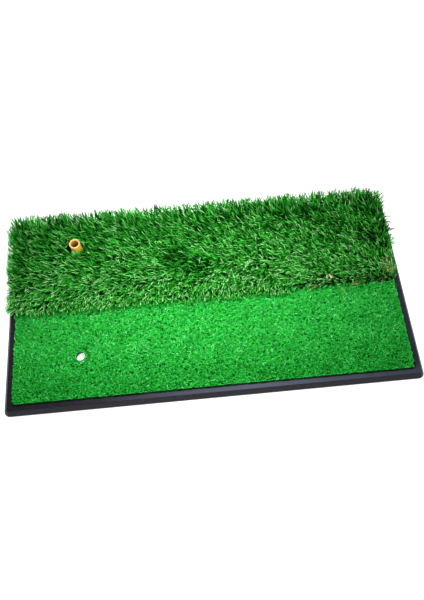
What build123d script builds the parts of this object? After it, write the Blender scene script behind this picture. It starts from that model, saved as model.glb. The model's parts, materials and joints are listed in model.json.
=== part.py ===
from build123d import *
from math import atan, degrees
import os

# Dual-turf golf hitting mat, in millimetres.
# The origin is on the ground under the middle of the mat. +X runs along the mat, with both tee
# holes near its -X end, +Y runs from the fairway half to the rough half, and +Z is up.

# Rubber base: a moulded tray with a bevelled rim
base_length = 600
base_width = 300
base_height = 12
base_corner_radius = 8
lip_height = 3            # upright band at the foot of the rim
bevel_run = 5.5           # how far the bevel leans in over the rest of the height
rim_width = 13            # from the foot of the rim to the pocket
floor_thickness = 7
pocket_corner_radius = 5
rim_edge_radius = 0.8

# Tread under the base: square pads between shallow grooves
groove_width = 2.4
groove_depth = 1.5
groove_pitch = 24
tread_margin = 14         # plain border round the grooves
land_radius = 31          # plain ring round each flange recess

# Turf build-up, from the tray floor upwards
adhesive_thickness = 0.5
coat_thickness = 1.2
backing_thickness = 0.8
fairway_pile_height = 8.5
thatch_height = 7
turf_edge_gap = 0.4       # between the turf and the pocket wall
seam_gap = 0.6            # between the two strips of turf
seam_y = 0
turf_corner_radius = 4.5
fairway_edge_radius = 1.2

# Rough pile: the blades spread over the rim and droop over the fairway
rough_top = 37            # tips above the ground
rough_full_height = 28    # where the spread is widest
rough_shoulder_height = 33
rough_side_spread = 10    # past the pocket wall, to both sides and to the back
rough_droop = 11          # past the seam, over the fairway
rough_clearance = 0.8     # above the rim and above the fairway pile
rough_foot_inset = 7      # how far the droop starts behind its widest point
rough_shoulder_inset = 3.5
rough_top_inset = 17

# Tee holes and the tee
hole_x = -190
fairway_hole_y = -75.5
tee_y = 87
tee_radius = 8
tee_wall = 2.2
tee_height = 56
flange_radius = 22.5
flange_thickness = 3.5
flange_edge_radius = 1
tee_root_radius = 0.7     # fillet between the tube and the flange
tee_lip_radius = 0.9      # on both edges of the open top
tee_clearance = 0.3       # round the tube in the base
recess_clearance = 0.8    # round the flange in its recess
turf_hole_radius = 9
hole_lead_in = 0.9        # chamfer at the lower end of each hole in the base

# Worked out from the sizes above
hole_radius = tee_radius + tee_clearance
recess_radius = flange_radius + recess_clearance
bevel_height = base_height - lip_height
bevel_angle = degrees(atan(bevel_run / bevel_height))
pocket_length = base_length - 2 * rim_width
pocket_width = base_width - 2 * rim_width
turf_half_length = pocket_length / 2 - turf_edge_gap
turf_outer_y = pocket_width / 2 - turf_edge_gap
turf_inner_y = seam_gap / 2
adhesive_base = floor_thickness
coat_base = adhesive_base + adhesive_thickness
backing_base = coat_base + coat_thickness
pile_base = backing_base + backing_thickness
fairway_top = pile_base + fairway_pile_height
thatch_top = pile_base + thatch_height
fairway_hole = (hole_x, fairway_hole_y)
tee_hole = (hole_x, tee_y)

os.makedirs("parts", exist_ok=True)


# Rubber base

with BuildPart() as rubber_base:
    with BuildSketch(Plane.XY):
        RectangleRounded(base_length, base_width, base_corner_radius)
    extrude(amount=lip_height)
    extrude(faces().sort_by(Axis.Z)[-1], amount=bevel_height, taper=bevel_angle)

    # pocket for the turf
    with BuildSketch(Plane.XY.offset(floor_thickness)):
        RectangleRounded(pocket_length, pocket_width, pocket_corner_radius)
    extrude(amount=base_height, mode=Mode.SUBTRACT)
    fillet(edges().group_by(Axis.Z)[-1], rim_edge_radius)

    # tread grooves, kept clear of the border and of the lands round the recesses
    groove_length = base_length - 2 * tread_margin
    groove_span = base_width - 2 * tread_margin
    with BuildSketch(Plane.XY):
        with GridLocations(groove_pitch, 0, int(groove_length // groove_pitch) + 1, 1):
            Rectangle(groove_width, groove_span)
        with GridLocations(0, groove_pitch, 1, int(groove_span // groove_pitch) + 1):
            Rectangle(groove_length, groove_width)
        with Locations(fairway_hole, tee_hole):
            Circle(land_radius, mode=Mode.SUBTRACT)
    extrude(amount=groove_depth, mode=Mode.SUBTRACT)

    # flange recess and tube hole at each tee position
    with BuildSketch(Plane.XY):
        with Locations(fairway_hole, tee_hole):
            Circle(recess_radius)
    extrude(amount=flange_thickness, mode=Mode.SUBTRACT)
    with BuildSketch(Plane.XY):
        with Locations(fairway_hole, tee_hole):
            Circle(hole_radius)
    extrude(amount=floor_thickness, mode=Mode.SUBTRACT)
    lead_in_edges = edges().filter_by(GeomType.CIRCLE).filter_by(
        lambda edge: abs(edge.radius - hole_radius) < tee_clearance / 2
        and abs(edge.center().Z - flange_thickness) < tee_clearance / 2
    )
    chamfer(lead_in_edges, hole_lead_in)

rubber_base.part.label = "rubber_base"
export_step(rubber_base.part, "parts/rubber_base.step")


# Turf sheets: each half has glue, a latex coat and a backing cloth, all cut to one outline

fairway_center_y = -(turf_outer_y + turf_inner_y) / 2
rough_center_y = (turf_outer_y + turf_inner_y) / 2
turf_width = turf_outer_y - turf_inner_y

turf_strips = [
    ("fairway", fairway_center_y, fairway_hole),
    ("rough", rough_center_y, tee_hole),
]
turf_layers = [
    ("adhesive", adhesive_base, adhesive_thickness),
    ("coat", coat_base, coat_thickness),
    ("backing", backing_base, backing_thickness),
]

for strip, center_y, hole in turf_strips:
    for layer, layer_base, layer_thickness in turf_layers:
        with BuildPart() as turf_sheet:
            with BuildSketch(Plane.XY.offset(layer_base)):
                with Locations((0, center_y)):
                    RectangleRounded(2 * turf_half_length, turf_width, turf_corner_radius)
                with Locations(hole):
                    Circle(turf_hole_radius, mode=Mode.SUBTRACT)
            extrude(amount=layer_thickness)

        turf_sheet.part.label = f"{strip}_{layer}"
        export_step(turf_sheet.part, f"parts/{strip}_{layer}.step")


# Fairway pile: short and dense, a little higher than the rim

with BuildPart() as fairway_pile:
    with BuildSketch(Plane.XY.offset(pile_base)):
        with Locations((0, fairway_center_y)):
            RectangleRounded(2 * turf_half_length, turf_width, turf_corner_radius)
    extrude(amount=fairway_pile_height)
    fillet(edges().group_by(Axis.Z)[-1], fairway_edge_radius)
    with BuildSketch(Plane.XY.offset(pile_base)):
        with Locations(fairway_hole):
            Circle(turf_hole_radius)
    extrude(amount=fairway_pile_height, mode=Mode.SUBTRACT)

fairway_pile.part.label = "fairway_pile"
export_step(fairway_pile.part, "parts/fairway_pile.step")


# Rough thatch: the low curled yarn that fills the foot of the long pile

with BuildPart() as rough_thatch:
    with BuildSketch(Plane.XY.offset(pile_base)):
        with Locations((0, rough_center_y)):
            RectangleRounded(2 * turf_half_length, turf_width, turf_corner_radius)
        with Locations(tee_hole):
            Circle(turf_hole_radius, mode=Mode.SUBTRACT)
    extrude(amount=thatch_height)

rough_thatch.part.label = "rough_thatch"
export_step(rough_thatch.part, "parts/rough_thatch.step")


# Rough pile: the long blades stand on the thatch between the seam and the rim. Above the
# fairway pile they spread in rounded steps, each a section: height, front y, back y, half length.

spread_base = fairway_top + rough_clearance
spread_half = pocket_length / 2 + rough_side_spread
spread_back = pocket_width / 2 + rough_side_spread
spread_front = seam_y - rough_droop
pile_sections = [
    (spread_base, spread_front + rough_foot_inset, turf_outer_y, turf_half_length),
    (rough_full_height, spread_front, spread_back, spread_half),
    (
        rough_shoulder_height,
        spread_front + rough_shoulder_inset,
        spread_back - rough_shoulder_inset,
        spread_half - rough_shoulder_inset,
    ),
    (
        rough_top,
        spread_front + rough_top_inset,
        spread_back - rough_top_inset,
        spread_half - rough_top_inset,
    ),
]

with BuildPart() as rough_pile:
    with BuildSketch(Plane.XY.offset(thatch_top)):
        with Locations((0, rough_center_y)):
            RectangleRounded(2 * turf_half_length, turf_width, turf_corner_radius)
    extrude(amount=spread_base - thatch_top)
    for height, front, back, half in pile_sections:
        with BuildSketch(Plane.XY.offset(height)):
            with Locations((0, (front + back) / 2)):
                RectangleRounded(2 * half, back - front, turf_corner_radius)
    loft(ruled=True)
    with BuildSketch(Plane.XY.offset(thatch_top)):
        with Locations(tee_hole):
            Circle(turf_hole_radius)
    extrude(amount=rough_top, mode=Mode.SUBTRACT)

rough_pile.part.label = "rough_pile"
export_step(rough_pile.part, "parts/rough_pile.step")


# Rubber tee: a straight open tube with a wide flange that sits in the recess under the mat

with BuildPart() as rubber_tee:
    with BuildSketch(Plane.XY):
        with Locations(tee_hole):
            Circle(flange_radius)
    extrude(amount=flange_thickness)
    fillet(edges().group_by(Axis.Z)[-1], flange_edge_radius)
    with BuildSketch(Plane.XY.offset(flange_thickness)):
        with Locations(tee_hole):
            Circle(tee_radius)
    extrude(amount=tee_height - flange_thickness)
    root_edge = edges().filter_by(GeomType.CIRCLE).filter_by(
        lambda edge: abs(edge.radius - tee_radius) < tee_clearance
        and abs(edge.center().Z - flange_thickness) < tee_clearance
    )
    fillet(root_edge, tee_root_radius)
    with BuildSketch(Plane.XY):
        with Locations(tee_hole):
            Circle(tee_radius - tee_wall)
    extrude(amount=tee_height, mode=Mode.SUBTRACT)
    fillet(edges().group_by(Axis.Z)[-1], tee_lip_radius)

rubber_tee.part.label = "rubber_tee"
export_step(rubber_tee.part, "parts/rubber_tee.step")
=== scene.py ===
import json
from math import cos, pi, radians, sin

import bpy
import numpy as np
from mathutils import Matrix, Vector


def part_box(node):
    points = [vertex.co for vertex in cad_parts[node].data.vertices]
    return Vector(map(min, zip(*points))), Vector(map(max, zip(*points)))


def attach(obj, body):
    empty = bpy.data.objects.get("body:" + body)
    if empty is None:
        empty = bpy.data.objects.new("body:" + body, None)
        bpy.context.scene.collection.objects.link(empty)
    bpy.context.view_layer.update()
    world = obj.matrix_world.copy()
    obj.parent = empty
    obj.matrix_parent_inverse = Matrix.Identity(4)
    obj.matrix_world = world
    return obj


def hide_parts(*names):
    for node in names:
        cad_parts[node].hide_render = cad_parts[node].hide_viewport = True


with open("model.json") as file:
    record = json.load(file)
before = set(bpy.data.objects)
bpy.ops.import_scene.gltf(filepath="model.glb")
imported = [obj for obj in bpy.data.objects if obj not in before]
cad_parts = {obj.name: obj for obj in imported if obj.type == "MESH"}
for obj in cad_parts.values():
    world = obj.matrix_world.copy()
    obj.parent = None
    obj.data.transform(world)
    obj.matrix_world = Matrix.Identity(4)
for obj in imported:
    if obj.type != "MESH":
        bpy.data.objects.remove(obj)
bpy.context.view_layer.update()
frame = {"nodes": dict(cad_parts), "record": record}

# Golf hitting mat. Metres, +Z up, the same frame as the CAD: +X along the mat, +Y from the
# fairway to the rough. The CAD keeps the base, the tee and the hidden sheets; the piles and the
# thatch are replaced here by real fibres.

MM = 0.001
SEED = 20260
rng = np.random.default_rng(SEED)

# Places and sizes read from the frame

base_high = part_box("rubber_base")[1]
backing_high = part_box("fairway_backing")[1]
fairway_low, fairway_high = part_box("fairway_pile")
thatch_low, thatch_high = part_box("rough_thatch")
tee_low, tee_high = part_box("rubber_tee")
hole_mount = [mount for mount in frame["record"]["mounts"] if mount["name"] == "fairway_tee_hole"][0]

pile_root = backing_high.z
rim_top = base_high.z
fairway_top = fairway_high.z
turf_half_length = thatch_high.x
turf_front = fairway_low.y
turf_back = thatch_high.y
seam_y = (fairway_high.y + thatch_low.y) / 2
tee_center = np.array([(tee_low.x + tee_high.x) / 2, (tee_low.y + tee_high.y) / 2])
hole_center = np.array(hole_mount["pos_m"][:2])

# Camera

CAMERA_PLACE = (-0.0164, -0.2979, 0.7411)
CAMERA_YAW = 4.468          # degrees, to the right of +Y
CAMERA_PITCH = 68.035       # degrees below the horizon
CAMERA_ROLL = 0.935         # degrees
CAMERA_LENS = 31.28         # mm, on a 36 mm sensor
CAMERA_NEAREST = 10 * MM    # it sees nothing nearer than this


def make_camera():
    yaw, pitch, roll = radians(CAMERA_YAW), radians(CAMERA_PITCH), radians(CAMERA_ROLL)
    ahead = Vector((sin(yaw) * cos(pitch), cos(yaw) * cos(pitch), -sin(pitch)))
    right = Vector((cos(yaw), -sin(yaw), 0))
    down = ahead.cross(right)
    tilted_right = cos(roll) * right + sin(roll) * down
    tilted_up = sin(roll) * right - cos(roll) * down
    turn = Matrix((tilted_right, tilted_up, -ahead)).transposed().to_4x4()
    data = bpy.data.cameras.new("camera")
    data.lens = CAMERA_LENS
    data.clip_start = CAMERA_NEAREST
    camera = bpy.data.objects.new("camera", data)
    camera.matrix_world = Matrix.Translation(CAMERA_PLACE) @ turn
    bpy.context.scene.collection.objects.link(camera)
    bpy.context.scene.camera = camera


make_camera()


# Node helpers

def new_material(name):
    mat = bpy.data.materials.new(name)
    mat.use_nodes = True
    return mat, mat.node_tree, mat.node_tree.nodes["Principled BSDF"]


def add_node(tree, kind, **values):
    node = tree.nodes.new(kind)
    for key, value in values.items():
        if key in node.inputs:
            node.inputs[key].default_value = value
        else:
            setattr(node, key, value)
    return node


def link(tree, source, target):
    tree.links.new(source, target)


def feed(tree, socket, value):
    """Links a socket to the value, or sets the value on it: a number or a colour."""
    if isinstance(value, bpy.types.NodeSocket):
        link(tree, value, socket)
    elif isinstance(value, (int, float)):
        socket.default_value = value
    else:
        socket.default_value = (*value, 1)


def object_place(tree):
    return add_node(tree, "ShaderNodeTexCoord").outputs["Object"]


def split(tree, vector):
    parts = add_node(tree, "ShaderNodeSeparateXYZ")
    link(tree, vector, parts.inputs["Vector"])
    return parts.outputs["X"], parts.outputs["Y"], parts.outputs["Z"]


def ramp(tree, factor, stops):
    node = add_node(tree, "ShaderNodeValToRGB")
    elements = node.color_ramp.elements
    while len(elements) < len(stops):
        elements.new(0.5)
    for element, (place, colour) in zip(elements, stops):
        element.position = place
        element.color = (*colour, 1)
    link(tree, factor, node.inputs["Fac"])
    return node.outputs["Color"]


MIX_A = 6                   # a mix node has sockets for numbers, vectors and colours, all with
MIX_B = 7                   # the same names, so its colours are found by number
MIX_RESULT = 2


def mix_colour(tree, factor, a, b, blend="MIX"):
    node = add_node(tree, "ShaderNodeMix", data_type="RGBA", blend_type=blend)
    feed(tree, node.inputs["Factor"], factor)
    feed(tree, node.inputs[MIX_A], a)
    feed(tree, node.inputs[MIX_B], b)
    return node.outputs[MIX_RESULT]


def maths(tree, operation, a, b):
    node = add_node(tree, "ShaderNodeMath", operation=operation)
    feed(tree, node.inputs[0], a)
    feed(tree, node.inputs[1], b)
    return node.outputs[0]


def noise(tree, vector, scale, detail=3.0, roughness=0.55):
    node = add_node(tree, "ShaderNodeTexNoise", Scale=scale, Detail=detail, Roughness=roughness)
    link(tree, vector, node.inputs["Vector"])
    return node.outputs["Fac"]


def bump(tree, height, shader, strength, distance):
    node = add_node(tree, "ShaderNodeBump", Strength=strength, Distance=distance)
    link(tree, height, node.inputs["Height"])
    link(tree, node.outputs["Normal"], shader.inputs["Normal"])


def window(tree, value, start, end):
    """0 where the value is at start, 1 where it is at end, straight between them."""
    node = add_node(tree, "ShaderNodeMapRange")
    node.inputs["From Min"].default_value = start
    node.inputs["From Max"].default_value = end
    link(tree, value, node.inputs["Value"])
    return node.outputs[0]


def map_range(tree, value, low, high):
    """low where the value is 0, high where it is 1."""
    node = add_node(tree, "ShaderNodeMapRange")
    node.inputs["To Min"].default_value = low
    node.inputs["To Max"].default_value = high
    link(tree, value, node.inputs["Value"])
    return node.outputs[0]


# Yarn. Its materials read the map that each fibre carries: U is its shade, from dark to pale, and V
# runs from the root to the tip, along which they paint shade towards the root.

FIBRE_MAP = "OFBake"
SHADE_WIDTH = 0.012                 # of U, across one fibre
STREAK_SCALE = 260.0
STREAK_STRETCH = (1.0, 0.02, 1.0)   # the streaks run along the fibre
STREAK_GAIN = (1.2, 1.2, 1.2)       # a streak's colour, as a share of the yarn's
PATCH_SCALE = 40.0                  # of the patches that are smoother or rougher
PATCH_SMOOTHER = 0.1
PATCH_ROUGHER = 0.12
LEAST_SHEEN = 0.02                  # of the darkest yarn; the palest has the full sheen
SHEEN_FROM_SHADE = 0.2


def yarn_material(name, shades, painted_root_shade, roughness, sheen):
    mat, tree, shader = new_material(name)
    uv = add_node(tree, "ShaderNodeUVMap", uv_map=FIBRE_MAP).outputs["UV"]
    shade, along, _ = split(tree, uv)

    colour = ramp(tree, shade, shades)
    # painted shade: darker towards each fibre's root, where the pile shades it
    root_shade_paint = ramp(tree, along, [(place, (value,) * 3) for place, value in painted_root_shade])
    colour = mix_colour(tree, 1.0, colour, root_shade_paint, "MULTIPLY")
    stretch = add_node(tree, "ShaderNodeMapping", Scale=STREAK_STRETCH)
    link(tree, uv, stretch.inputs["Vector"])
    streaks = noise(tree, stretch.outputs["Vector"], STREAK_SCALE)
    pale = mix_colour(tree, 1.0, colour, STREAK_GAIN, "MULTIPLY")
    link(tree, mix_colour(tree, streaks, colour, pale), shader.inputs["Base Color"])

    smoothest, roughest = roughness - PATCH_SMOOTHER, roughness + PATCH_ROUGHER
    patches = map_range(tree, noise(tree, uv, PATCH_SCALE), smoothest, roughest)
    link(tree, patches, shader.inputs["Roughness"])
    bump(tree, streaks, shader, strength=0.35, distance=0.2 * MM)
    shine = maths(tree, "MULTIPLY", window(tree, shade, SHEEN_FROM_SHADE, 1.0), sheen)
    link(tree, maths(tree, "ADD", shine, LEAST_SHEEN), shader.inputs["Specular IOR Level"])
    return mat


# Moulded rubber of the base, with a painted highlight on the top of its rim and painted shade on its
# foot

BASE_BLACKS = [(0.3, (0.010, 0.010, 0.012)), (0.7, (0.014, 0.013, 0.017))]
BASE_SCUFF = (0.045, 0.045, 0.055)
BASE_SCUFF_STRENGTH = 0.3
BASE_PAINTED_HIGHLIGHT = (0.066, 0.078, 0.112)
BASE_FOOT_PAINTED_SHADE = (0.003, 0.003, 0.003)
BASE_SHEEN = 0.12
BASE_SHEEN_TINT = (0.8, 0.8, 1.0, 1)
HIGHLIGHT_FROM_X = -0.160        # no painted highlight at this X, and the full painted highlight at the next
HIGHLIGHT_TO_X = 0.050
HIGHLIGHT_FRONT_Y = -0.140       # the painted highlight is full at the front and thinner past the next
HIGHLIGHT_SIDE_Y = -0.128
HIGHLIGHT_ON_SIDES = 0.3
LEVEL_ENOUGH = 0.9          # the least upward part of a normal that gets any of the painted highlight
FOOT_HEIGHT = 3 * MM        # the upright band at the foot of the base, darker than the rest with painted shade
FOOT_BLUR = 0.5 * MM


# Painted highlight: a paler blue-grey on the upward faces of the rim that stands for the lamp's
# reflection. It is patchy, grows towards +X and thins away from the front.
def rim_painted_highlight(tree, place_x, place_y, clouds):
    normal = add_node(tree, "ShaderNodeNewGeometry").outputs["Normal"]
    facing_up = split(tree, normal)[2]
    along = window(tree, place_x, HIGHLIGHT_FROM_X, HIGHLIGHT_TO_X)
    upward = window(tree, facing_up, LEVEL_ENOUGH, 1.0)
    to_sides = window(tree, place_y, HIGHLIGHT_FRONT_Y, HIGHLIGHT_SIDE_Y)
    thin = map_range(tree, to_sides, low=1.0, high=HIGHLIGHT_ON_SIDES)
    patchy = maths(tree, "MULTIPLY", map_range(tree, clouds, low=0.45, high=1.0), thin)
    return maths(tree, "MULTIPLY", maths(tree, "MULTIPLY", along, upward), patchy)


def rubber_base_material():
    mat, tree, shader = new_material("base_rubber_moulded")
    place = object_place(tree)
    place_x, place_y, place_z = split(tree, place)
    grain = noise(tree, place, scale=2400.0, detail=2.0)
    clouds = noise(tree, place, scale=45.0, detail=4.0)
    scuffs = noise(tree, place, scale=210.0, detail=5.0, roughness=0.7)

    colour = ramp(tree, clouds, BASE_BLACKS)
    worn = ramp(tree, scuffs, [(0.5, (0, 0, 0)), (0.8, (1, 1, 1))])
    scuffed = maths(tree, "MULTIPLY", worn, BASE_SCUFF_STRENGTH)
    colour = mix_colour(tree, scuffed, colour, BASE_SCUFF)
    # painted highlight on the top of the rim
    colour = mix_colour(tree, rim_painted_highlight(tree, place_x, place_y, clouds), colour, BASE_PAINTED_HIGHLIGHT)
    # painted shade on the upright band at the foot
    foot = window(tree, place_z, FOOT_HEIGHT, FOOT_HEIGHT - FOOT_BLUR)
    link(tree, mix_colour(tree, foot, colour, BASE_FOOT_PAINTED_SHADE), shader.inputs["Base Color"])

    link(tree, map_range(tree, clouds, low=0.38, high=0.56), shader.inputs["Roughness"])
    height = maths(tree, "ADD", maths(tree, "MULTIPLY", grain, 0.5), scuffs)
    bump(tree, height, shader, strength=0.25, distance=0.15 * MM)
    shader.inputs["Specular IOR Level"].default_value = BASE_SHEEN
    shader.inputs["Specular Tint"].default_value = BASE_SHEEN_TINT
    return mat


# Amber rubber of the tee, with a painted highlight on its lip and painted shade inside its tube

TEE_AMBERS = [(0.3, (0.72, 0.34, 0.045)), (0.7, (0.82, 0.42, 0.06))]
TEE_SPECK = (0.85, 0.55, 0.14)
TEE_SPECK_STRENGTH = 0.2
TEE_LIP_PAINTED_HIGHLIGHT = (0.54, 0.42, 0.13)
TEE_BORE_PAINTED_SHADE = (0.09, 0.022, 0.004)
TEE_GLOW = 0.06                             # share of the light that passes under the surface
TEE_GLOW_REACH = (0.004, 0.0016, 0.0004)    # how far it travels: red, green, blue
TEE_LIP_BAND = 1.3 * MM     # how far down from its lip the painted highlight reaches, and where the painted shade inside begins
TEE_BORE_EDGE = 6.6 * MM    # a surface nearer the tee's axis than this is inside its tube
TEE_BORE_SHADE = 16 * MM    # how far down the inside has gone fully dark with painted shade


def distance_from_tee_axis(tree, place_x, place_y):
    flat = add_node(tree, "ShaderNodeCombineXYZ")
    link(tree, place_x, flat.inputs["X"])
    link(tree, place_y, flat.inputs["Y"])
    measure = add_node(tree, "ShaderNodeVectorMath", operation="DISTANCE")
    link(tree, flat.outputs["Vector"], measure.inputs[0])
    measure.inputs[1].default_value = (*tee_center, 0)
    return measure.outputs["Value"]


def tee_material():
    mat, tree, shader = new_material("tee_rubber_amber")
    place = object_place(tree)
    place_x, place_y, place_z = split(tree, place)
    clouds = noise(tree, place, scale=90.0)
    specks = noise(tree, place, scale=1500.0, detail=2.0)

    colour = ramp(tree, clouds, TEE_AMBERS)
    colour = mix_colour(tree, maths(tree, "MULTIPLY", specks, TEE_SPECK_STRENGTH), colour, TEE_SPECK)
    # painted highlight on the lip, which faces the lamp
    near_lip = window(tree, place_z, tee_high.z - TEE_LIP_BAND, tee_high.z)
    colour = mix_colour(tree, near_lip, colour, TEE_LIP_PAINTED_HIGHLIGHT)
    # painted shade inside the tube, darker the deeper it goes
    from_axis = distance_from_tee_axis(tree, place_x, place_y)
    inside = maths(tree, "LESS_THAN", from_axis, TEE_BORE_EDGE)
    down = window(tree, place_z, tee_high.z - TEE_LIP_BAND, tee_high.z - TEE_BORE_SHADE)
    bore_painted_shade = maths(tree, "MULTIPLY", inside, down)
    link(tree, mix_colour(tree, bore_painted_shade, colour, TEE_BORE_PAINTED_SHADE), shader.inputs["Base Color"])

    link(tree, map_range(tree, specks, low=0.3, high=0.45), shader.inputs["Roughness"])
    bump(tree, specks, shader, strength=0.15, distance=0.1 * MM)
    shader.inputs["Subsurface Weight"].default_value = TEE_GLOW
    shader.inputs["Subsurface Radius"].default_value = TEE_GLOW_REACH
    return mat


# The sheets under the pile

def cloth_material(name, dark, light):
    mat, tree, shader = new_material(name)
    place = object_place(tree)
    warp = add_node(tree, "ShaderNodeTexWave", Scale=180.0, Distortion=0.6, bands_direction="X")
    weft = add_node(tree, "ShaderNodeTexWave", Scale=180.0, Distortion=0.6, bands_direction="Y")
    link(tree, place, warp.inputs["Vector"])
    link(tree, place, weft.inputs["Vector"])
    weave = maths(tree, "MULTIPLY", warp.outputs["Fac"], weft.outputs["Fac"])
    link(tree, ramp(tree, weave, [(0.0, dark), (1.0, light)]), shader.inputs["Base Color"])
    link(tree, map_range(tree, weave, low=0.6, high=0.85), shader.inputs["Roughness"])
    bump(tree, weave, shader, strength=0.6, distance=0.4 * MM)
    return mat


def layer_material(name, dark, light, scale, roughness):
    mat, tree, shader = new_material(name)
    lumps = noise(tree, object_place(tree), scale, detail=4.0)
    link(tree, ramp(tree, lumps, [(0.3, dark), (0.7, light)]), shader.inputs["Base Color"])
    link(tree, map_range(tree, lumps, low=roughness, high=roughness + 0.2), shader.inputs["Roughness"])
    bump(tree, lumps, shader, strength=0.5, distance=0.3 * MM)
    return mat


# Shades go from the darkest fibre to the palest. The depth ramps, from the root to the tip, are
# painted shade that darkens each fibre towards its root, where the pile shades it, and the rough's
# ramp ends in a little painted light at the tips.

FAIRWAY_SHADES = [
    (0.0, (0.005, 0.20, 0.012)),
    (0.35, (0.020, 0.44, 0.042)),
    (0.7, (0.050, 0.68, 0.095)),
    # the palest stop is painted glint, for the few much paler fibres
    (1.0, (0.24, 0.88, 0.30)),
]
# The rough's near-black first stop is partly painted shade between the blades, and its palest stop is
# partly painted highlight, besides the yarn's own tones.
ROUGH_SHADES = [
    (0.0, (0.0005, 0.010, 0.0005)),
    (0.3, (0.005, 0.11, 0.005)),
    (0.6, (0.026, 0.40, 0.022)),
    (0.85, (0.075, 0.70, 0.056)),
    (1.0, (0.38, 0.86, 0.32)),
]
THATCH_SHADES = [
    (0.0, (0.02, 0.08, 0.012)),
    (0.4, (0.07, 0.12, 0.025)),
    (0.7, (0.28, 0.27, 0.08)),
    (1.0, (0.64, 0.60, 0.32)),
]
FAIRWAY_PAINTED_ROOT_SHADE = [(0.0, 0.8), (0.5, 0.88), (0.8, 1.0), (1.0, 1.0)]
ROUGH_PAINTED_ROOT_SHADE = [(0.0, 0.02), (0.68, 0.05), (0.88, 0.95), (1.0, 1.15)]
THATCH_PAINTED_ROOT_SHADE = [(0.0, 0.2), (0.6, 1.0), (1.0, 1.0)]

fairway_yarn = yarn_material(
    "fairway_yarn_curled", FAIRWAY_SHADES, FAIRWAY_PAINTED_ROOT_SHADE, roughness=0.5, sheen=0.2)
rough_yarn = yarn_material(
    "rough_yarn_blade", ROUGH_SHADES, ROUGH_PAINTED_ROOT_SHADE, roughness=0.36, sheen=0.3)
thatch_yarn = yarn_material(
    "thatch_yarn_curled", THATCH_SHADES, THATCH_PAINTED_ROOT_SHADE, roughness=0.6, sheen=0.3)

backing_weave = cloth_material("backing_weave", dark=(0.006, 0.05, 0.010), light=(0.015, 0.13, 0.025))
latex_skin = layer_material(
    "latex_skin", dark=(0.03, 0.04, 0.03), light=(0.06, 0.08, 0.06), scale=300, roughness=0.6)
dried_glue = layer_material(
    "dried_glue", dark=(0.35, 0.3, 0.2), light=(0.6, 0.52, 0.36), scale=120, roughness=0.3)

CAD_LOOKS = {"rubber_base": rubber_base_material(), "rubber_tee": tee_material()}
for strip in ("fairway", "rough"):
    CAD_LOOKS[strip + "_backing"] = backing_weave
    CAD_LOOKS[strip + "_coat"] = latex_skin
    CAD_LOOKS[strip + "_adhesive"] = dried_glue

for node, look in CAD_LOOKS.items():
    slots = frame["nodes"][node].data.materials
    slots.clear()
    slots.append(look)


# Fibres. Each is a closed strip with a shallow ridge: three corners at every step of its path.

CORNERS = 3                 # at each step: one edge, the ridge and the other edge
MAP_ROOT = 0.02             # V at the root of a fibre, and at its tip
MAP_TIP = 0.98
MAP_BARED = 0.9             # how much higher V starts on a fibre that is all open to view, so it has less of the painted root shade
UPRIGHT_ENOUGH = 1e-3       # a path with less sideways run than this has no side of its own
TINY = 1e-12                # keeps a length from being zero where it divides
LEAST_SHADE = 0.02
MOST_SHADE = 0.98
PIECES_IN_PILE = 6          # the piles are cut into several meshes, so none is too heavy


def fade(distance, reach):
    """1 at no distance, and dying away over the reach."""
    return np.exp(-distance / reach)


def smooth_step(value, low, high):
    t = np.clip((value - low) / (high - low), 0, 1)
    return t * t * (3 - 2 * t)


def soft_noise(x, y, size, seed, terms=10):
    """Smooth noise of about unit height: a sum of waves with random directions."""
    waves = np.random.default_rng(seed)
    total = np.zeros_like(x)
    for _ in range(terms):
        angle = waves.uniform(0, 2 * pi)
        pace = 2 * pi / (size * waves.uniform(0.6, 1.8))
        phase = waves.uniform(0, 2 * pi)
        total += np.sin((x * cos(angle) + y * sin(angle)) * pace + phase)
    return total / terms ** 0.5


def distance_to(places, center):
    return np.linalg.norm(places - center, axis=1)


def on_circle(center, radius, turns):
    return center + radius * np.column_stack([np.cos(turns), np.sin(turns)])


def on_cloth(roots):
    """The roots with their height, on top of the backing cloth."""
    return np.column_stack([roots, np.full(len(roots), pile_root)])


GRID_INSET = 0.3 * MM       # a jittered root stays this far inside its grid's corners


def tuft_grid(low, high, spacing, jitter):
    """Jittered roots on the stitch grid between two corners."""
    xs = np.arange(low[0] + spacing / 2, high[0], spacing)
    ys = np.arange(low[1] + spacing / 2, high[1], spacing)
    grid = np.stack(np.meshgrid(xs, ys), -1).reshape(-1, 2)
    grid = grid + rng.uniform(-jitter, jitter, grid.shape)
    return np.clip(grid, np.array(low) + GRID_INSET, np.array(high) - GRID_INSET)


def random_curls(count, least, most):
    """A random heading for each fibre, and how far it turns at each step, either way."""
    heading = rng.uniform(0, 2 * pi, count)
    curl = rng.choice([-1, 1], count) * rng.uniform(least, most, count)
    return heading, curl


def turning(heading, turn, steps, middle=0.0):
    """The heading at every step, (count, steps). The given one is at the step numbered middle."""
    return heading[:, None] + turn[:, None] * (np.arange(steps)[None, :] - middle)


def random_shades(tone, scatter, count):
    return np.clip(tone + scatter * rng.standard_normal(count), LEAST_SHADE, MOST_SHADE)


def lean_paths(roots, lengths, azimuths, start_tilt, end_tilt, bend=1.3, field=None):
    """Paths that leave each root at start_tilt from the vertical and bend over to end_tilt.

    azimuths has one direction a step, (count, steps), and a field may turn it by the place."""
    count, steps = azimuths.shape
    paths = np.empty((count, steps + 1, 3))
    paths[:, 0] = roots
    step = lengths / steps
    for i in range(steps):
        share = ((i + 0.5) / steps) ** bend
        tilt = start_tilt + (end_tilt - start_tilt) * share
        heading = azimuths[:, i] if field is None else field(paths[:, i], azimuths[:, i])
        paths[:, i + 1, 0] = paths[:, i, 0] + step * np.sin(tilt) * np.cos(heading)
        paths[:, i + 1, 1] = paths[:, i, 1] + step * np.sin(tilt) * np.sin(heading)
        paths[:, i + 1, 2] = paths[:, i, 2] + step * np.cos(tilt)
    return paths


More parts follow.
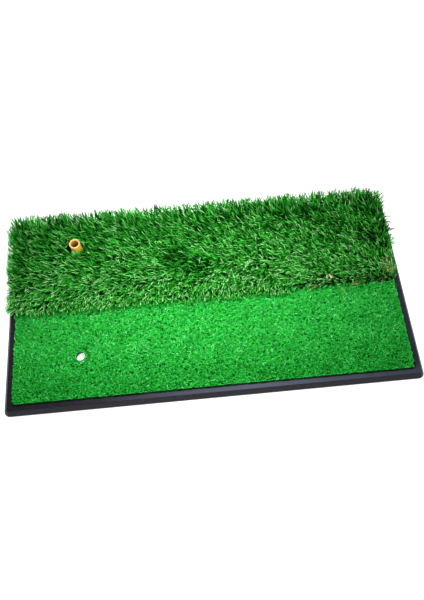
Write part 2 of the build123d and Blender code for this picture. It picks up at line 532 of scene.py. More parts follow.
def keep_out(paths, center, radius):
    """Pushes path points that are inside a vertical cylinder out to its wall."""
    offset = paths[..., :2] - center
    distance = np.linalg.norm(offset, axis=-1, keepdims=True)
    paths[..., :2] = center + offset / np.maximum(distance, TINY) * np.maximum(distance, radius)


def unit(vectors):
    return vectors / np.maximum(np.linalg.norm(vectors, axis=-1, keepdims=True), TINY)


def fibre_corners(paths, widths, twists, ridge, taper):
    """The three corners of every fibre at every step. taper is the width there, as a share."""
    along = unit(np.gradient(paths, axis=1))
    flat_side = np.stack([-along[..., 1], along[..., 0], np.zeros(paths.shape[:2])], -1)
    flat_side[np.linalg.norm(flat_side, axis=-1) < UPRIGHT_ENOUGH] = (1, 0, 0)
    flat_side = unit(flat_side)
    top = np.cross(along, flat_side)
    turn = twists[:, None, None]
    side = np.cos(turn) * flat_side + np.sin(turn) * top
    top = unit(np.cross(along, side))
    half = (widths[:, None] * np.asarray(taper)[None, :] / 2)[..., None]
    lift = ridge * np.asarray(taper)[None, :, None]
    return np.stack([paths - side * half, paths + top * lift, paths + side * half], 2)


def fibre_faces(count, rows):
    """The corners of every face in turn, and how many each face has: first sides, then ends."""
    foot = np.arange(count) * rows * CORNERS
    tip = foot + (rows - 1) * CORNERS
    row = (np.arange(rows - 1) * CORNERS)[None, :, None]
    corner = np.arange(CORNERS)[None, None, :]
    a = foot[:, None, None] + row + corner
    b = foot[:, None, None] + row + (corner + 1) % CORNERS
    sides = np.stack([a, b, b + CORNERS, a + CORNERS], -1).reshape(-1, 4)
    ends = np.concatenate([
        np.stack([foot + 2, foot + 1, foot], -1),
        np.stack([tip, tip + 1, tip + 2], -1),
    ])
    face_corners = np.concatenate([sides.ravel(), ends.ravel()])
    sizes = np.concatenate([np.full(len(sides), 4), np.full(len(ends), 3)])
    return face_corners, sizes


def fibre_map(shades, rows, bared):
    """Where each corner is on the map: its shade, and how far it is from root to tip."""
    shape = (len(shades), rows, CORNERS)
    across = SHADE_WIDTH * (np.arange(CORNERS) - 1)[None, None, :] / 2
    u = np.broadcast_to(shades[:, None, None] + across, shape)
    v_start = MAP_ROOT + MAP_BARED * np.broadcast_to(bared, (len(shades),))[:, None]
    v = v_start + (MAP_TIP - v_start) * np.linspace(0, 1, rows)[None, :]
    v = np.broadcast_to(v[:, :, None], shape)
    return np.stack([u, v], -1).reshape(-1, 2)


def build_fibres(name, paths, widths, twists, shades, bared, ridge, taper, material, slot):
    """One mesh of many fibres. bared says how much of each is open to view, from 0 to 1, which starts
    its painted root shade higher.
    """
    count, rows = paths.shape[:2]
    corners = fibre_corners(paths, widths, twists, ridge, taper)
    face_corners, sizes = fibre_faces(count, rows)
    starts = np.concatenate([[0], np.cumsum(sizes)[:-1]])
    mesh = bpy.data.meshes.new(name)
    mesh.vertices.add(count * rows * CORNERS)
    mesh.vertices.foreach_set("co", corners.reshape(-1).astype(np.float32))
    mesh.loops.add(len(face_corners))
    mesh.loops.foreach_set("vertex_index", face_corners.astype(np.int32))
    mesh.polygons.add(len(sizes))
    mesh.polygons.foreach_set("loop_start", starts.astype(np.int32))
    mesh.polygons.foreach_set("use_smooth", np.ones(len(sizes), bool))
    flat_map = fibre_map(shades, rows, bared)[face_corners]
    layer = mesh.uv_layers.new(name=FIBRE_MAP)
    layer.data.foreach_set("uv", flat_map.reshape(-1).astype(np.float32))
    mesh.update(calc_edges=True)
    mesh.materials.append(material)
    piece = bpy.data.objects.new(name, mesh)
    bpy.context.scene.collection.objects.link(piece)
    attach(piece, "mat")
    return piece


def build_in_pieces(name, paths, widths, twists, shades, bared, **kind):
    """The fibres of a whole pile, as meshes that are numbered from 1."""
    pieces = []
    for number, part in enumerate(np.array_split(np.arange(len(paths)), PIECES_IN_PILE)):
        piece = build_fibres(
            f"{name}_{number + 1}", paths[part], widths[part], twists[part], shades[part],
            bared[part], **kind)
        pieces.append(piece)
    return pieces


# Fairway: short curled fibres. A pair of numbers for a tilt is its middle and its scatter, in
# radians from the vertical. Turns are radians as well, and a tone is a shade before its scatter.

FAIRWAY_SPACING = 1.6 * MM
FAIRWAY_JITTER = 1.0 * MM
FAIRWAY_LENGTH = 11.5 * MM
FAIRWAY_LENGTH_SCATTER = 0.09
FAIRWAY_WIDTH = 1.0 * MM
FAIRWAY_WIDTH_SCATTER = 0.12
FAIRWAY_RIDGE = 0.45 * MM
FAIRWAY_STEPS = 5
FAIRWAY_TAPER = [1, 1, 1, 1, 0.95, 0.5]
FAIRWAY_TWIST = 0.5
FAIRWAY_CURL = (0.4, 1.0)           # least and most turn at a step
FAIRWAY_START_TILT = (0.08, 0.08)
FAIRWAY_END_TILT = (2.1, 0.35)
FAIRWAY_BEND = 2.3                  # the fibres stand up first and bend over late

FAIRWAY_LEFT = -turf_half_length + 1.2 * MM     # the fibres lean in from the ends and the front
FAIRWAY_RIGHT = turf_half_length - 2.6 * MM
FAIRWAY_FRONT = turf_front + 0.8 * MM
FAIRWAY_ROOT_INSET = 0.6 * MM       # the roots stay this far inside those three
FAIRWAY_CORNER = 6 * MM

HOLE_CUT = 9.2 * MM                 # radius that the stitch grid leaves free round the spare hole
HOLE_RING_RADIUS = 9.4 * MM
HOLE_RING_FIBRES = 60               # stitched close round the hole, so its edge is full
HOLE_LEAN_RADIUS = 12 * MM          # fibres rooted nearer than this lean in over the hole
HOLE_LEAN_STRAY = 0.3               # how far those stray from the hole, as a share of their curl
HOLE_LEAN_CURL = 0.2                # and how much of their curl they keep
HOLE_OPENING = 6.5 * MM             # radius left clear by the fibres round the hole

FAIRWAY_TONE = 0.42
FAIRWAY_TONE_SCATTER = 0.14
FAIRWAY_CLOUD_TONE = 0.04
FAIRWAY_CLOUD_SIZE = 0.03
FAIRWAY_FRONT_PAINTED_SHADE = 0.12         # painted shade: darker by this at the front, where the lamp is weaker
FAIRWAY_FRONT_SHADE_REACH = 0.07
FAIRWAY_GLINT_SHARE = 0.05               # share of the fibres that are much paler: painted glints
FAIRWAY_GLINT_TONE = 0.4


def fairway_roots():
    low = (-turf_half_length, turf_front)
    high = (turf_half_length, seam_y)
    roots = tuft_grid(low, high, FAIRWAY_SPACING, FAIRWAY_JITTER)
    roots = roots[distance_to(roots, hole_center) > HOLE_CUT]
    inset = FAIRWAY_ROOT_INSET
    roots[:, 0] = np.clip(roots[:, 0], FAIRWAY_LEFT + inset, FAIRWAY_RIGHT - inset)
    roots[:, 1] = np.maximum(roots[:, 1], FAIRWAY_FRONT + inset)
    past_left = np.maximum(FAIRWAY_LEFT + FAIRWAY_CORNER - roots[:, 0], 0)
    past_right = np.maximum(roots[:, 0] - FAIRWAY_RIGHT + FAIRWAY_CORNER, 0)
    past_front = np.maximum(FAIRWAY_FRONT + FAIRWAY_CORNER - roots[:, 1], 0)
    roots = roots[np.hypot(past_left + past_right, past_front) < FAIRWAY_CORNER]
    turns = np.linspace(0, 2 * pi, HOLE_RING_FIBRES, endpoint=False)
    return np.concatenate([roots, on_circle(hole_center, HOLE_RING_RADIUS, turns)])


def fairway_headings(roots):
    """Each fibre's heading at each step. Those round the spare hole head for its middle."""
    heading, curl = random_curls(len(roots), *FAIRWAY_CURL)
    to_hole = hole_center - roots
    inward = np.arctan2(to_hole[:, 1], to_hole[:, 0])
    ring = np.linalg.norm(to_hole, axis=1) < HOLE_LEAN_RADIUS
    heading = np.where(ring, inward + HOLE_LEAN_STRAY * curl, heading)
    curl = np.where(ring, HOLE_LEAN_CURL * curl, curl)
    return turning(heading, curl, FAIRWAY_STEPS)


def fairway_paths(roots):
    count = len(roots)
    lengths = FAIRWAY_LENGTH * rng.normal(1, FAIRWAY_LENGTH_SCATTER, count)
    azimuths = fairway_headings(roots)
    start_tilt = np.abs(rng.normal(*FAIRWAY_START_TILT, count))
    end_tilt = rng.normal(*FAIRWAY_END_TILT, count)
    paths = lean_paths(on_cloth(roots), lengths, azimuths, start_tilt, end_tilt, FAIRWAY_BEND)
    paths[..., 0] = np.clip(paths[..., 0], FAIRWAY_LEFT, FAIRWAY_RIGHT)
    paths[..., 1] = np.maximum(paths[..., 1], FAIRWAY_FRONT)
    keep_out(paths, hole_center, HOLE_OPENING)
    return paths


def fairway_shades(roots):
    x, y = roots.T
    to_front = 1 - smooth_step(y - turf_front, 0, FAIRWAY_FRONT_SHADE_REACH)
    clouds = soft_noise(x, y, FAIRWAY_CLOUD_SIZE, SEED + 1)
    # painted shade towards the front
    tone = FAIRWAY_TONE - FAIRWAY_FRONT_PAINTED_SHADE * to_front + FAIRWAY_CLOUD_TONE * clouds
    # painted glints: a few fibres much paler
    specks = FAIRWAY_GLINT_TONE * (rng.random(len(roots)) < FAIRWAY_GLINT_SHARE)
    return random_shades(tone + specks, FAIRWAY_TONE_SCATTER, len(roots))


def make_fairway():
    roots = fairway_roots()
    count = len(roots)
    paths = fairway_paths(roots)
    shades = fairway_shades(roots)
    widths = FAIRWAY_WIDTH * rng.normal(1, FAIRWAY_WIDTH_SCATTER, count)
    twists = rng.normal(0, FAIRWAY_TWIST, count)
    pieces = build_in_pieces(
        "fairway_fibres", paths, widths, twists, shades, np.zeros(count),
        ridge=FAIRWAY_RIDGE, taper=FAIRWAY_TAPER, material=fairway_yarn, slot="fairway_yarn")
    for piece in pieces:
        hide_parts("fairway_pile")


# Rough: long blades in tufts, combed towards -X and spreading at the edges

TUFT_SPACING = 5.0 * MM
TUFT_JITTER = 1.1 * MM
TUFT_SPREAD = 0.75 * MM             # how far its blades are scattered round a tuft's middle
TUFT_RADIUS = 1.6 * MM              # and the most that any of them is off it
TUFT_FROM_SEAM = 1.0 * MM
BLADE_FROM_SEAM = 0.9 * MM
BLADE_FROM_EDGE = 0.4 * MM
BLADES_IN_TUFT = 7
EDGE_BLADES_IN_TUFT = 12            # the outer rows are stitched closer
EDGE_BAND = 7 * MM

BLADE_LENGTH = 33 * MM
BLADE_LENGTH_SCATTER = 0.09
LONGEST_BLADE = 40 * MM
BLADE_WIDTH = 1.5 * MM
BLADE_WIDTH_SCATTER = 0.13
BLADE_RIDGE = 0.28 * MM
BLADE_STEPS = 6
BLADE_TAPER = [0.75, 1, 1, 1, 0.92, 0.7, 0.22]
BLADE_TWIST = 0.45
BLADE_START_TILT = (0.18, 0.12)
BLADE_END_TILT = (1.18, 0.20)

TEE_CLEAR = 9.6 * MM                # radius kept clear round the tee's tube
TEE_ROOT_CLEAR = 0.8 * MM           # and the tufts stand this much further off
TEE_GAP_PLACE = (4 * MM, 2 * MM)    # middle of the bare ground by the tee, from the tee's axis
TEE_GAP_RADIUS = 12.5 * MM
COLLAR_RADIUS = 10.6 * MM           # tufts set close in front of the tee, at these turns
COLLAR_TURNS = np.radians(np.linspace(-115, -30, 8))

PARTINGS = [((-0.036, 0.066), 0.016), ((0.001, 0.045), 0.014)]      # places and sizes


def rough_tufts():
    low = (-turf_half_length, seam_y + TUFT_FROM_SEAM)
    high = (turf_half_length, turf_back)
    tufts = tuft_grid(low, high, TUFT_SPACING, TUFT_JITTER)
    tufts = tufts[distance_to(tufts, tee_center + TEE_GAP_PLACE) > TEE_GAP_RADIUS]
    tufts = tufts[distance_to(tufts, tee_center) > TEE_CLEAR + TEE_ROOT_CLEAR]
    return np.concatenate([tufts, on_circle(tee_center, COLLAR_RADIUS, COLLAR_TURNS)])


def rough_roots(tufts):
    """The roots of all blades, and the number of the tuft that each one is in."""
    to_edge = np.minimum(turf_half_length - np.abs(tufts[:, 0]), turf_back - tufts[:, 1])
    blades = np.where(to_edge < EDGE_BAND, EDGE_BLADES_IN_TUFT, BLADES_IN_TUFT)
    tuft_of = np.repeat(np.arange(len(tufts)), blades)
    spread = rng.normal(0, TUFT_SPREAD, (len(tuft_of), 2))
    roots = tufts[tuft_of] + np.clip(spread, -TUFT_RADIUS, TUFT_RADIUS)
    low = np.array([-turf_half_length + BLADE_FROM_EDGE, seam_y + BLADE_FROM_SEAM])
    high = np.array([turf_half_length, turf_back]) - BLADE_FROM_EDGE
    return np.clip(roots, low, high), tuft_of


# How the blades of the rough stand round the tee

PROP_DIRECTION = (0.41, -0.91)      # from the tee's axis to the side where blades prop it
PROP_RADIUS = 10 * MM
PROP_WIDTH = 6 * MM
PROP_SIDES = (0.1, 0.6)             # cosines of the angle off it: none at the first, all at the next
BESIDE_PLACE = (22 * MM, 2 * MM)    # from the tee's axis
BESIDE_SIZE = (12 * MM, 9 * MM)


def before_tee(x, y):
    """1 where the blades stand up close in front of the tee, 0 behind it and away from it."""
    dx, dy = x - tee_center[0], y - tee_center[1]
    reach = np.hypot(dx, dy)
    ahead = (PROP_DIRECTION[0] * dx + PROP_DIRECTION[1] * dy) / reach
    return np.exp(-((reach - PROP_RADIUS) / PROP_WIDTH) ** 2) * smooth_step(ahead, *PROP_SIDES)


def beside_tee(x, y):
    """1 where the blades would lie on the tee from its +X side, so they stand up short of it."""
    across = (x - tee_center[0] - BESIDE_PLACE[0]) / BESIDE_SIZE[0]
    ahead = (y - tee_center[1] - BESIDE_PLACE[1]) / BESIDE_SIZE[1]
    return np.exp(-across ** 2 - ahead ** 2)


# How the rough is combed. A lean is a vector along X and Y, and only its direction counts, so
# what these say is how strongly each part of the field turns the blades.

COMB_LEAN = (-1.0, 0.20)            # of the middle of the field
SEAM_BAND = (0.010, 0.075)          # from the seam, where the lean over the fairway dies away
SEAM_LEAN_X = 0.25
SEAM_LEAN_Y = 0.95
SEAM_LEAN_LOST = 0.55               # of it, past this span of X
SEAM_LEAN_SPAN = (0.05, 0.2)
LEFT_LEAN = 0.5                     # inwards at the -X end
LEFT_LEAN_REACH = 9 * MM
RIGHT_LEAN = 1.2                    # over the rim at the +X end, but not by the seam
RIGHT_LEAN_REACH = 4 * MM
RIGHT_LEAN_BAND = (0.02, 0.06)
BACK_LEAN = 1.3                     # over the rim at the back, with more past this span of X
BACK_LEAN_MORE = 0.9
BACK_LEAN_SPAN = (0, 0.2)
BACK_LEAN_REACH = 10 * MM
FRONT_LEAN = 0.7                    # over the seam, for the first rows
FRONT_LEAN_REACH = 8 * MM
DROOP_LOST = 0.8                    # of the lean over the fairway, past this span of X
DROOP_SPAN = (0.09, 0.17)
DROOP_LOST_LEFT = 0.4               # and near the -X end
DROOP_LEFT_REACH = 14 * MM
CALM_SPAN = 2.2                     # blades wander again past this many times TEE_CLEAR


def droop(x):
    """How far the front blades hang over the fairway: less near both ends."""
    lost_right = DROOP_LOST * smooth_step(x, *DROOP_SPAN)
    return 1 - lost_right - DROOP_LOST_LEFT * fade(x + turf_half_length, DROOP_LEFT_REACH)


def comb_direction(x, y):
    """The way the rough lies at a place, as a vector that grows at the edges."""
    near_seam = 1 - smooth_step(y - seam_y, *SEAM_BAND)
    seam_lean = SEAM_LEAN_Y - SEAM_LEAN_LOST * smooth_step(x, *SEAM_LEAN_SPAN)
    lean_x = COMB_LEAN[0] + SEAM_LEAN_X * near_seam
    lean_y = COMB_LEAN[1] - seam_lean * near_seam * droop(x)
    left = fade(x + turf_half_length, LEFT_LEAN_REACH)
    right = fade(turf_half_length - x, RIGHT_LEAN_REACH)
    right = right * smooth_step(y - seam_y, *RIGHT_LEAN_BAND)
    back = fade(turf_back - y, BACK_LEAN_REACH)
    front = fade(y - seam_y, FRONT_LEAN_REACH)
    back_lean = BACK_LEAN + BACK_LEAN_MORE * smooth_step(x, *BACK_LEAN_SPAN)
    lean_x = lean_x + LEFT_LEAN * left + RIGHT_LEAN * right
    lean_y = lean_y + back_lean * back - FRONT_LEAN * front * droop(x)
    for (parting_x, parting_y), size in PARTINGS:
        dx, dy = x - parting_x, y - parting_y
        away = np.exp(-(dx * dx + dy * dy) / (size * size)) / size
        lean_x = lean_x + away * dx
        lean_y = lean_y + away * dy
    return lean_x, lean_y


def comb_heading(points, wander):
    """Heading of each blade at its place: the comb, turned by its own wander, round the tee."""
    x, y = points[:, 0], points[:, 1]
    lean_x, lean_y = comb_direction(x, y)
    dx, dy = x - tee_center[0], y - tee_center[1]
    reach = dx * dx + dy * dy
    ratio = np.minimum((TEE_CLEAR ** 2) / np.maximum(reach, TINY), 1.0)
    flow_x = lean_x - ratio * ((dx * dx - dy * dy) * lean_x + 2 * dx * dy * lean_y) / reach
    flow_y = lean_y - ratio * ((dy * dy - dx * dx) * lean_y + 2 * dx * dy * lean_x) / reach
    calm = smooth_step(np.sqrt(reach), TEE_CLEAR, CALM_SPAN * TEE_CLEAR)
    return np.arctan2(flow_y, flow_x) + wander * calm


# How much each blade differs from the comb, and how its length and its tilt change at the edges

TUFT_TURN = 0.20                    # scatter of the turn that a whole tuft has
BLADE_TURN = 0.32
BLADE_TURN_LEFT = 1.5               # more of it near the two ends
BLADE_TURN_RIGHT = 1.0
BLADE_TURN_CLOUD = 0.18
BLADE_TURN_CLOUD_SIZE = 0.05
BLADE_BOW = 0.08

LEFT_REACH = 14 * MM                # reaches of the changes near the ends, the back and the seam
RIGHT_REACH = 12 * MM
BACK_REACH = 12 * MM
SEAM_REACH = 9 * MM
EDGE_REACH = 8 * MM
SHORTER_AT_SEAM = 0.36              # changes of length, as shares of BLADE_LENGTH
LONGER_AT_EDGE = 0.10
LONGER_AT_BACK = 0.14
START_TILT_AT_SEAM = 0.05           # changes of tilt
END_TILT_AT_SEAM = 0.10
LEFT_LIFT = 0.25                    # blades at the -X end bend over less, the more so behind
LEFT_LIFT_MORE = 0.5
LEFT_LIFT_BAND = (0.03, 0.08)
PROPPED_LONGER = 0.35               # blades that prop the tee are longer and nearly straight
PROPPED_UPRIGHT = 0.97
HELD_SHORTER = 0.22                 # blades at the +X end are shorter and stand up more
HELD_UPRIGHT = 0.8
HELD_LESS_AT_BACK = 0.6
LOOSE_BLADES = 0.16                 # share of those that aren't held back, and how much they are
LOOSE_HELD = 0.25
BESIDE_UPRIGHT = 0.8

REST_ON_FAIRWAY = 0.8 * MM          # the blades lie this high over the fairway, with this scatter
REST_SCATTER = 1.6 * MM
REST_ON_RIM = 0.8 * MM


def rough_headings(roots, tuft_turn):
    x, y = roots.T
    left = fade(turf_half_length + x, LEFT_REACH)
    right = fade(turf_half_length - x, RIGHT_REACH)
    more = 1 + BLADE_TURN_LEFT * left + BLADE_TURN_RIGHT * right
    clouds = soft_noise(x, y, BLADE_TURN_CLOUD_SIZE, SEED + 2)
    wander = tuft_turn + rng.normal(0, BLADE_TURN, len(roots)) * more + BLADE_TURN_CLOUD * clouds
    bow = rng.normal(0, BLADE_BOW, len(roots))
    return turning(wander, bow, BLADE_STEPS)


def rough_paths(roots, azimuths):
    count = len(roots)
    x, y = roots.T
    to_end = np.minimum(x + turf_half_length, turf_half_length - x)
    edge = fade(np.minimum(to_end, turf_back - y), EDGE_REACH)
    left = fade(turf_half_length + x, LEFT_REACH)
    right = fade(turf_half_length - x, RIGHT_REACH)
    back = fade(turf_back - y, BACK_REACH)
    front = fade(y - seam_y, SEAM_REACH)
    propped = before_tee(x, y)

    change = -SHORTER_AT_SEAM * front + LONGER_AT_EDGE * edge + LONGER_AT_BACK * back
    lengths = BLADE_LENGTH * (rng.normal(1, BLADE_LENGTH_SCATTER, count) + change)
    start_tilt = np.abs(rng.normal(*BLADE_START_TILT, count)) + START_TILT_AT_SEAM * front
    lift = LEFT_LIFT + LEFT_LIFT_MORE * smooth_step(y - seam_y, *LEFT_LIFT_BAND)
    lift = lift * left * (1 - front)
    end_tilt = rng.normal(*BLADE_END_TILT, count) + END_TILT_AT_SEAM * front - lift
    held = right * np.where(rng.random(count) < LOOSE_BLADES, LOOSE_HELD, 1.0)
    lengths = lengths * (1 + PROPPED_LONGER * propped) * (1 - HELD_SHORTER * held)
    lengths = np.minimum(lengths, LONGEST_BLADE)

    bent = 1 - PROPPED_UPRIGHT * propped
    bent = bent * (1 - HELD_UPRIGHT * held * (1 - HELD_LESS_AT_BACK * back))
    bent = bent * (1 - BESIDE_UPRIGHT * beside_tee(x, y))
    return lean_paths(
        on_cloth(roots), lengths, azimuths, start_tilt * bent, end_tilt * bent,
        field=comb_heading)


def lay_rough(paths):
    """Lifts the blades onto the fairway and onto the rim, and keeps them off the tee."""
    x, y, z = paths[..., 0], paths[..., 1], paths[..., 2]
    lay_on = fairway_top + REST_ON_FAIRWAY + REST_SCATTER * rng.random((len(paths), 1))
    z = np.where(y < seam_y, np.maximum(z, lay_on), z)
    over_rim = (np.abs(x) > turf_half_length) | (y > turf_back)
    paths[..., 2] = np.where(over_rim, np.maximum(z, rim_top + REST_ON_RIM), z)
    keep_out(paths, tee_center, TEE_CLEAR)


ROUGH_TONE = 0.44
ROUGH_TONE_SCATTER = 0.31
ROUGH_CLOUD_TONE = 0.05
ROUGH_CLOUD_SIZE = 0.06
ROUGH_FRONT_PAINTED_LIGHT = 0.20             # painted light: paler towards the seam and darker towards the back, over this reach
ROUGH_FRONT_REACH = 0.12
ROUGH_SEAM_PAINTED_LIGHT = 0.11              # and more painted light close to it, where the shades scatter less
ROUGH_SEAM_REACH = 16 * MM
ROUGH_SEAM_SCATTER = 0.12
ROUGH_PARTING_PAINTED_SHADE = 0.2            # painted shade: darker in the partings, where the pile opens onto its shaded depths
BARED_EDGE = 0.85                   # how much of the outermost blades is open to view, and so free of the painted root shade
BARED_REACH = 4 * MM


def rough_shades(roots):
    x, y = roots.T
    to_front = 1 - smooth_step(y - seam_y, 0, ROUGH_FRONT_REACH)
    clouds = soft_noise(x, y, ROUGH_CLOUD_SIZE, SEED + 3)
    by_seam = fade(y - seam_y, ROUGH_SEAM_REACH)
    # painted light towards the seam, besides random clouds
    tone = ROUGH_TONE + ROUGH_FRONT_PAINTED_LIGHT * to_front + ROUGH_CLOUD_TONE * clouds
    tone = tone + ROUGH_SEAM_PAINTED_LIGHT * by_seam
    # painted shade in the partings
    for (parting_x, parting_y), size in PARTINGS:
        off_parting = (x - parting_x) ** 2 + (y - parting_y) ** 2
        tone = tone - ROUGH_PARTING_PAINTED_SHADE * np.exp(-off_parting / (size * size))
    scatter = ROUGH_TONE_SCATTER - ROUGH_SEAM_SCATTER * by_seam
    return random_shades(tone, scatter, len(roots))


def make_rough():
    tufts = rough_tufts()
    roots, tuft_of = rough_roots(tufts)
    count = len(roots)
    azimuths = rough_headings(roots, rng.normal(0, TUFT_TURN, len(tufts))[tuft_of])
    paths = rough_paths(roots, azimuths)
    lay_rough(paths)
    shades = rough_shades(roots)
    widths = BLADE_WIDTH * rng.normal(1, BLADE_WIDTH_SCATTER, count)
    twists = rng.normal(0, BLADE_TWIST, count)
    to_side = np.minimum(turf_half_length - np.abs(roots[:, 0]), turf_back - roots[:, 1])
    pieces = build_in_pieces(
        "rough_blades", paths, widths, twists, shades, BARED_EDGE * fade(to_side, BARED_REACH),
        ridge=BLADE_RIDGE, taper=BLADE_TAPER, material=rough_yarn, slot="rough_yarn")
    for piece in pieces:
        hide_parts("rough_pile")


# Thatch: low curled yarn between the blades

THATCH_SPACING = 4.6 * MM
THATCH_JITTER = 1.6 * MM
THATCH_FROM_SEAM = 0.8 * MM
THATCH_LEAST_Y = seam_y + 0.5 * MM
THATCH_TEE_CLEAR = 1.0 * MM         # the roots are this much outside TEE_CLEAR
THATCH_STEPS = 8
THATCH_LENGTH = (17, 2.5)           # mm: middle and scatter
THATCH_CURL = (0.5, 1.1)
THATCH_START_TILT = (0.4, 0.2)
THATCH_END_TILT = (1.5, 0.3)
THATCH_BEND = 0.8
THATCH_WIDTH = 0.9 * MM
THATCH_RIDGE = 0.3 * MM
THATCH_TAPER = [1] * THATCH_STEPS + [0.5]
THATCH_TWIST = 0.8
THATCH_TONE = 0.34
THATCH_TONE_SCATTER = 0.2


def thatch_paths(roots):
    count = len(roots)
    heading, curl = random_curls(count, *THATCH_CURL)
    lengths = rng.normal(*THATCH_LENGTH, count) * MM
    start_tilt = np.abs(rng.normal(*THATCH_START_TILT, count))
    end_tilt = rng.normal(*THATCH_END_TILT, count)
    azimuths = turning(heading, curl, THATCH_STEPS)
    paths = lean_paths(on_cloth(roots), lengths, azimuths, start_tilt, end_tilt, THATCH_BEND)
    paths[..., 0] = np.clip(paths[..., 0], -turf_half_length, turf_half_length)
    paths[..., 1] = np.clip(paths[..., 1], THATCH_LEAST_Y, turf_back)
    keep_out(paths, tee_center, TEE_CLEAR)
    return paths


def make_thatch():
    low = (-turf_half_length, seam_y + THATCH_FROM_SEAM)
    high = (turf_half_length, turf_back)
    roots = tuft_grid(low, high, THATCH_SPACING, THATCH_JITTER)
    roots = roots[distance_to(roots, tee_center) > TEE_CLEAR + THATCH_TEE_CLEAR]
    count = len(roots)
    paths = thatch_paths(roots)
    shades = random_shades(THATCH_TONE, THATCH_TONE_SCATTER, count)
    twists = rng.normal(0, THATCH_TWIST, count)
    piece = build_fibres(
        "thatch_curls", paths, np.full(count, THATCH_WIDTH), twists, shades, 0.0,
        ridge=THATCH_RIDGE, taper=THATCH_TAPER, material=thatch_yarn, slot="thatch_yarn")
    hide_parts("rough_thatch")


# Loose yarn: thatch that has worked out of the seam near its +X end. Each group of strands has
# its number, its middle, its scatter, its heading with the scatter of that, a length, a height
# over the fairway, and how pale it is.

LOOSE_YARN = [
    (4, (0.158, -0.0010), (6 * MM, 0.8 * MM), 0.1, 0.15, 15 * MM, 1.2 * MM, 0.78),
    (8, (0.184, 0.0085), (3 * MM, 2.0 * MM), 0.6, 0.8, 8 * MM, 12 * MM, 0.95),
    (4, (0.225, -0.0005), (14 * MM, 0.8 * MM), 0.15, 0.15, 13 * MM, 1.0 * MM, 0.62),
    (46, (0.275, 0.0200), (4.0 * MM, 5.5 * MM), 0.9, 1.2, 11 * MM, 11 * MM, 0.66),
    (1, (0.2110, -0.0120), (0, 0), 1.05, 0, 10 * MM, 1.0 * MM, 0.68),
    (1, (0.2045, -0.0120), (0, 0), -1.05, 0, 10 * MM, 1.0 * MM, 0.68),
    (1, (0.2030, -0.0240), (0, 0), 0.9, 0, 5 * MM, 1.0 * MM, 0.7),
]
STRAND_LENGTH_SCATTER = 0.15
STRAND_SHADE_SCATTER = 0.18
STRAND_LEAST_SHADE = 0.2
STRAND_STEPS = 8
STRAND_CURL = 0.12
STRAND_START_TILT = (1.5, 0.12)
STRAND_END_TILT = (1.62, 0.1)
STRAND_REST = 0.4 * MM              # the least height over the fairway
STRAND_WIDTH = 1.1 * MM
STRAND_RIDGE = 0.3 * MM
STRAND_TAPER = [0.5] + [1] * (STRAND_STEPS - 1) + [0.4]
STRAND_TWIST = 0.6
STRAND_BARED = 0.6


def strand_group(count, middle, scatter, heading, turn, length, rise, shade):
    place = np.column_stack([
        rng.normal(middle[0], scatter[0], count),
        rng.normal(middle[1], scatter[1], count),
        np.full(count, fairway_top + rise),
    ])
    headings = rng.choice([0, pi], count) + rng.normal(heading, turn, count)
    lengths = length * rng.normal(1, STRAND_LENGTH_SCATTER, count)
    shades = rng.normal(shade, STRAND_SHADE_SCATTER, count)
    return place, headings, lengths, np.clip(shades, STRAND_LEAST_SHADE, MOST_SHADE)


def make_loose_yarn():
    groups = [strand_group(*group) for group in LOOSE_YARN]
    place, headings, lengths, shades = (np.concatenate(column) for column in zip(*groups))
    count = len(place)
    curl = rng.normal(0, STRAND_CURL, count)
    start_tilt = rng.normal(*STRAND_START_TILT, count)
    end_tilt = rng.normal(*STRAND_END_TILT, count)
    twists = rng.normal(0, STRAND_TWIST, count)
    azimuths = turning(headings, curl, STRAND_STEPS, middle=STRAND_STEPS / 2)
    ahead = np.column_stack([np.cos(headings), np.sin(headings), np.zeros(count)])
    roots = place - ahead * lengths[:, None] / 2
    paths = lean_paths(roots, lengths, azimuths, start_tilt, end_tilt)
    paths[..., 2] = np.maximum(paths[..., 2], fairway_top + STRAND_REST)
    piece = build_fibres(
        "loose_yarn", paths, np.full(count, STRAND_WIDTH), twists, shades, STRAND_BARED,
        ridge=STRAND_RIDGE, taper=STRAND_TAPER, material=thatch_yarn, slot="thatch_yarn")
    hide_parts("rough_thatch")


make_fairway()
make_rough()
make_thatch()
make_loose_yarn()


# Floor and light

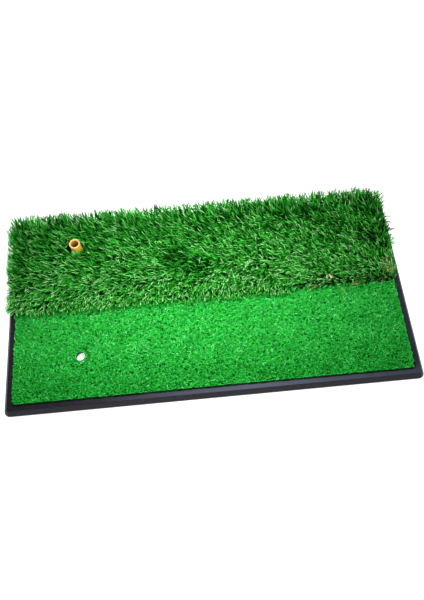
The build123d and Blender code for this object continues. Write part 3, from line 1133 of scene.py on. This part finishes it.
FLOOR_HALF = 80.0
FLOOR_WHITE = (0.9, 0.9, 0.9, 1)
FLOOR_ROUGHNESS = 0.9
FLOOR_GLOW = 0.8
SKY = [(0.0, (1, 1, 1)), (0.25, (1, 1, 1)), (0.6, (0.25, 0.25, 0.25))]     # from level upwards
KEY_PLACE = (-0.02, 0.02, 0.43)
KEY_AIM = (-0.02, 0.02, 0.0)
KEY_SIZE = (0.36, 0.08)
KEY_POWER = 1.65                    # watts
KEY_SPREAD = 110                    # degrees


def make_floor():
    mesh = bpy.data.meshes.new("floor")
    corners = [(-1, -1), (1, -1), (1, 1), (-1, 1)]
    mesh.from_pydata([(x * FLOOR_HALF, y * FLOOR_HALF, 0) for x, y in corners], [], [(0, 1, 2, 3)])
    floor = bpy.data.objects.new("floor", mesh)
    bpy.context.scene.collection.objects.link(floor)
    mat, _, shader = new_material("floor_white")
    shader.inputs["Base Color"].default_value = FLOOR_WHITE
    shader.inputs["Roughness"].default_value = FLOOR_ROUGHNESS
    shader.inputs["Emission Color"].default_value = (1, 1, 1, 1)
    shader.inputs["Emission Strength"].default_value = FLOOR_GLOW
    mesh.materials.append(mat)


def make_sky():
    world = bpy.data.worlds.new("studio")
    world.use_nodes = True
    tree = world.node_tree
    around = add_node(tree, "ShaderNodeTexCoord").outputs["Generated"]
    height = split(tree, around)[2]
    link(tree, ramp(tree, height, SKY), tree.nodes["Background"].inputs["Color"])
    bpy.context.scene.world = world


def make_key_light():
    data = bpy.data.lights.new("key", "AREA")
    data.shape = "RECTANGLE"
    data.size, data.size_y = KEY_SIZE
    data.energy = KEY_POWER
    data.spread = radians(KEY_SPREAD)
    light = bpy.data.objects.new("key", data)
    light.location = KEY_PLACE
    light.visible_camera = False
    towards = Vector(KEY_AIM) - Vector(KEY_PLACE)
    light.rotation_euler = towards.to_track_quat("-Z", "Y").to_euler()
    bpy.context.scene.collection.objects.link(light)


make_floor()
make_sky()
make_key_light()
bpy.context.scene.view_settings.view_transform = "Standard"
